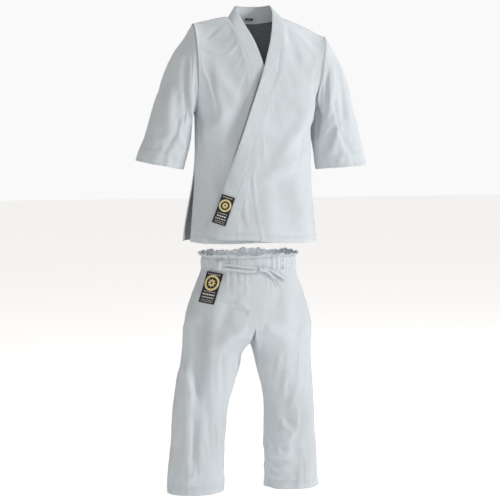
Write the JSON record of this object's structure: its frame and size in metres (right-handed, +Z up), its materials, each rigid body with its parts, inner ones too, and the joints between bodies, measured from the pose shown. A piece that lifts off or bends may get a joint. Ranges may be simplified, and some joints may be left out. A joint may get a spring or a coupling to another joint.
{
  "type": "martial arts uniform",
  "caption": "Two-piece white cotton martial arts uniform: a wrap-over jacket with open sleeves and a lapel band, above wide drawstring trousers.",
  "frame": {"origin": "middle of the wearer's waist at the drawstring's level", "axes": "+Z up, front towards -Y, the wearer's left towards +X"},
  "size_m": [0.8522, 0.3083, 1.7252],
  "materials": {
    "white_cotton": "plain-woven heavy cotton, matt, bluish white",
    "stitched_band": "several layers of the same cotton with parallel rows of stitching",
    "cotton_tape": "narrow woven cotton tape",
    "woven_badge": "black woven badge with gold and white threads in a plain pattern"
  },
  "bodies": {
    "trousers_seat": {"waist_frill": "stitched_band", "waistband_outer": "stitched_band", "drawstring_in_channel": "cotton_tape", "waistband_inner": "stitched_band", "seat_front": "white_cotton", "seat_back": "white_cotton", "crotch_gusset": "white_cotton", "left_thigh": "white_cotton", "right_thigh": "white_cotton", "drawstring_lead_upper": "cotton_tape", "drawstring_lead_lower": "cotton_tape", "drawstring_end_lower": "cotton_tape", "drawstring_end_upper": "cotton_tape", "drawstring_knot": "cotton_tape", "trousers_patch": "woven_badge"},
    "jacket_body": {"back_panel": "white_cotton", "back_hem": "stitched_band", "collar": "stitched_band", "size_label": "woven_badge", "left_front_side": "white_cotton", "left_side_hem": "stitched_band", "left_front_fold": "white_cotton", "left_chest": "white_cotton", "left_upper_lapel": "stitched_band", "right_front_side": "white_cotton", "right_side_hem": "stitched_band", "right_front_fold": "white_cotton", "right_chest": "white_cotton", "right_upper_lapel": "stitched_band", "left_sleeve_head": "white_cotton", "right_sleeve_head": "white_cotton", "inner_tie_side": "cotton_tape"},
    "over_front": {"left_front_flap": "white_cotton", "left_flap_hem": "stitched_band", "left_lapel": "stitched_band", "jacket_patch": "woven_badge"},
    "under_front": {"right_front_flap": "white_cotton", "right_flap_hem": "stitched_band", "right_lapel": "stitched_band", "inner_tie_front": "cotton_tape"},
    "left_arm": {"left_sleeve": "white_cotton", "left_cuff": "stitched_band"},
    "right_arm": {"right_sleeve": "white_cotton", "right_cuff": "stitched_band"},
    "left_leg": {"left_leg_front": "white_cotton", "left_leg_back": "white_cotton", "left_leg_hem": "stitched_band"},
    "right_leg": {"right_leg_front": "white_cotton", "right_leg_back": "white_cotton", "right_leg_hem": "stitched_band"}
  },
  "joints": [
    {"name": "jacket_lift", "type": "slide", "parent": "trousers_seat", "child": "jacket_body", "axis": [0, 0, 1], "range_m": [0, 0.4]},
    {"name": "over_front_open", "type": "hinge", "parent": "jacket_body", "child": "over_front", "pos_m": [0.155, -0.108, 0.3875], "axis": [0, 0, 1], "range_deg": [0, 110], "deforming": ["left_front_fold"]},
    {"name": "under_front_open", "type": "hinge", "parent": "jacket_body", "child": "under_front", "pos_m": [-0.145, -0.108, 0.3875], "axis": [0, 0, -1], "range_deg": [0, 27.5], "deforming": ["right_front_fold"]},
    {"name": "left_sleeve_raise", "type": "hinge", "parent": "jacket_body", "child": "left_arm", "pos_m": [0.245, -0.008, 0.7], "axis": [0, -1, 0], "range_deg": [0, 45], "deforming": ["left_sleeve_head"]},
    {"name": "right_sleeve_raise", "type": "hinge", "parent": "jacket_body", "child": "right_arm", "pos_m": [-0.215, -0.008, 0.71], "axis": [0, 1, 0], "range_deg": [0, 45], "deforming": ["right_sleeve_head"]},
    {"name": "left_leg_swing", "type": "hinge", "parent": "trousers_seat", "child": "left_leg", "pos_m": [0.11, 0.026, -0.16], "axis": [-1, 0, 0], "range_deg": [-15, 60], "deforming": ["left_thigh"]},
    {"name": "right_leg_swing", "type": "hinge", "parent": "trousers_seat", "child": "right_leg", "pos_m": [-0.12, 0.026, -0.16], "axis": [-1, 0, 0], "range_deg": [-15, 60], "deforming": ["right_thigh"]}
  ],
  "couplings": [
    {"joint": "under_front_open", "follows": "over_front_open", "ratio": 0.25}
  ]
}
